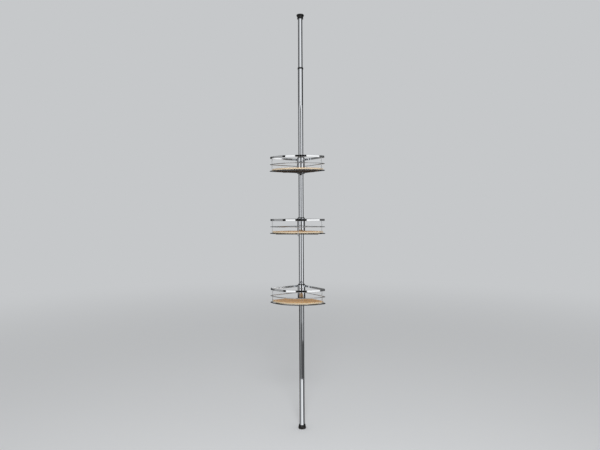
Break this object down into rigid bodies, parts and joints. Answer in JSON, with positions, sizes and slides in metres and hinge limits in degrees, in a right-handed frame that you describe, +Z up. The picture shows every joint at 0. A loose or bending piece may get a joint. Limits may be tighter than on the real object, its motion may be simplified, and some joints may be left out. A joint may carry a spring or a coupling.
{
  "type": "shower caddy",
  "caption": "Sprung floor-to-ceiling corner pole with quarter-round wire baskets that slide and swivel on it, each with a lift-out bamboo board.",
  "frame": {"origin": "centre of the foot's sole on the floor, on the pole's axis", "axes": "+Z up the pole to the ceiling; -Y towards the rounded fronts of the baskets; +X to the right seen from the front"},
  "size_m": [0.313, 0.2511, 2.4],
  "materials": {
    "pole_chrome": "polished",
    "wire_chrome": "polished",
    "black_plastic": "satin",
    "black_rubber": "matte",
    "plain_steel": "zinc plated",
    "spring_steel": "oiled",
    "bamboo": "satin lacquer"
  },
  "bodies": {
    "pole": {"foot_cap": "black_rubber", "pole_tube_bottom": "pole_chrome", "pole_tube_middle": "pole_chrome", "pole_tube_top": "pole_chrome", "tube_coupler_lower": "plain_steel", "tube_coupler_upper": "plain_steel", "tube_bush": "black_plastic", "spring_stop": "black_plastic", "tension_spring": "spring_steel"},
    "extension": {"extension_tube": "pole_chrome", "spring_piston": "black_plastic", "ceiling_cap": "black_plastic", "ceiling_pad": "black_rubber"},
    "upper_clamp": {"upper_wedge_left": "black_plastic", "upper_wedge_right": "black_plastic"},
    "upper_basket": {"upper_sleeve": "pole_chrome", "upper_rim_band": "wire_chrome", "upper_guard_wire": "wire_chrome", "upper_floor_frame": "wire_chrome", "upper_posts": "wire_chrome"},
    "upper_shelf": {"upper_board": "bamboo", "upper_board_cleats": "bamboo"},
    "middle_clamp": {"middle_wedge_left": "black_plastic", "middle_wedge_right": "black_plastic"},
    "middle_basket": {"middle_sleeve": "pole_chrome", "middle_rim_band": "wire_chrome", "middle_guard_wire": "wire_chrome", "middle_floor_frame": "wire_chrome", "middle_posts": "wire_chrome"},
    "middle_shelf": {"middle_board": "bamboo", "middle_board_cleats": "bamboo"},
    "lower_clamp": {"lower_wedge_left": "black_plastic", "lower_wedge_right": "black_plastic"},
    "lower_basket": {"lower_sleeve": "pole_chrome", "lower_rim_band": "wire_chrome", "lower_guard_wire": "wire_chrome", "lower_floor_frame": "wire_chrome", "lower_posts": "wire_chrome"},
    "lower_shelf": {"lower_board": "bamboo", "lower_board_cleats": "bamboo"},
    "hook": {"middle_hook": "wire_chrome"}
  },
  "joints": [
    {"name": "extension_slide", "type": "slide", "parent": "pole", "child": "extension", "axis": [0, 0, 1], "range_m": [-0.06, 0], "stiffness_N_per_m": 1500, "springref_m": 0.06, "deforming": ["tension_spring"]},
    {"name": "upper_height", "type": "slide", "parent": "pole", "child": "upper_clamp", "axis": [0, 0, 1], "range_m": [-0.1, 0.5]},
    {"name": "upper_swivel", "type": "hinge", "parent": "upper_clamp", "child": "upper_basket", "pos_m": [0, 0, 1.559], "axis": [0, 0, 1], "continuous": true},
    {"name": "upper_board_lift", "type": "slide", "parent": "upper_basket", "child": "upper_shelf", "axis": [0, 0, 1], "range_m": [0, 0.1]},
    {"name": "middle_height", "type": "slide", "parent": "pole", "child": "middle_clamp", "axis": [0, 0, 1], "range_m": [-0.11, 0.1]},
    {"name": "middle_swivel", "type": "hinge", "parent": "middle_clamp", "child": "middle_basket", "pos_m": [0, 0, 1.21], "axis": [0, 0, 1], "continuous": true},
    {"name": "middle_board_lift", "type": "slide", "parent": "middle_basket", "child": "middle_shelf", "axis": [0, 0, 1], "range_m": [0, 0.1]},
    {"name": "lower_height", "type": "slide", "parent": "pole", "child": "lower_clamp", "axis": [0, 0, 1], "range_m": [-0.7, 0.11]},
    {"name": "lower_swivel", "type": "hinge", "parent": "lower_clamp", "child": "lower_basket", "pos_m": [0, 0, 0.823], "axis": [0, 0, 1], "continuous": true},
    {"name": "lower_board_lift", "type": "slide", "parent": "lower_basket", "child": "lower_shelf", "axis": [0, 0, 1], "range_m": [0, 0.1]},
    {"name": "hook_swing", "type": "hinge", "parent": "middle_basket", "child": "hook", "pos_m": [0.01986, -0.20471, 1.172], "axis": [-0.9945, -0.1045, 0], "range_deg": [0, 72]}
  ]
}
